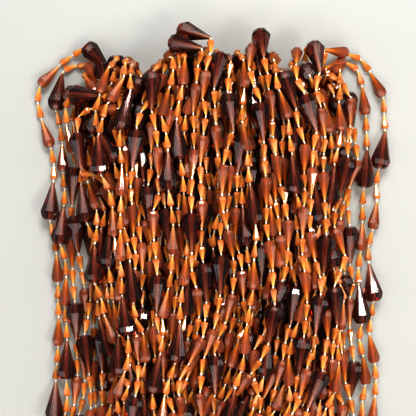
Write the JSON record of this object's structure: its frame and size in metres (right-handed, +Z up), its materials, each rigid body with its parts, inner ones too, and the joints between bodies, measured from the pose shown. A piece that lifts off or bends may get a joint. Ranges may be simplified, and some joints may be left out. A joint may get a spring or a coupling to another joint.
{
  "type": "bead curtain, lying folded over on a flat surface",
  "caption": "Bead curtain put down flat and doubled over: amber drop beads on knotted strings, rooted in one narrow heading tape.",
  "frame": {"origin": "on the surface that the curtain lies on, under the middle of its bounding box", "axes": "+Y from the heading to the fold, +X to the right with the fold at the top, +Z up from the surface"},
  "size_m": [0.3669, 0.95, 0.062],
  "materials": {
    "beads": "moulded translucent amber acrylic with flat facets, red-brown where it is thick",
    "string": "white twisted cotton string, knotted between the beads",
    "heading": "plain woven cotton tape"
  },
  "bodies": {
    "root": {"curtain": "beads"}
  },
  "joints": []
}
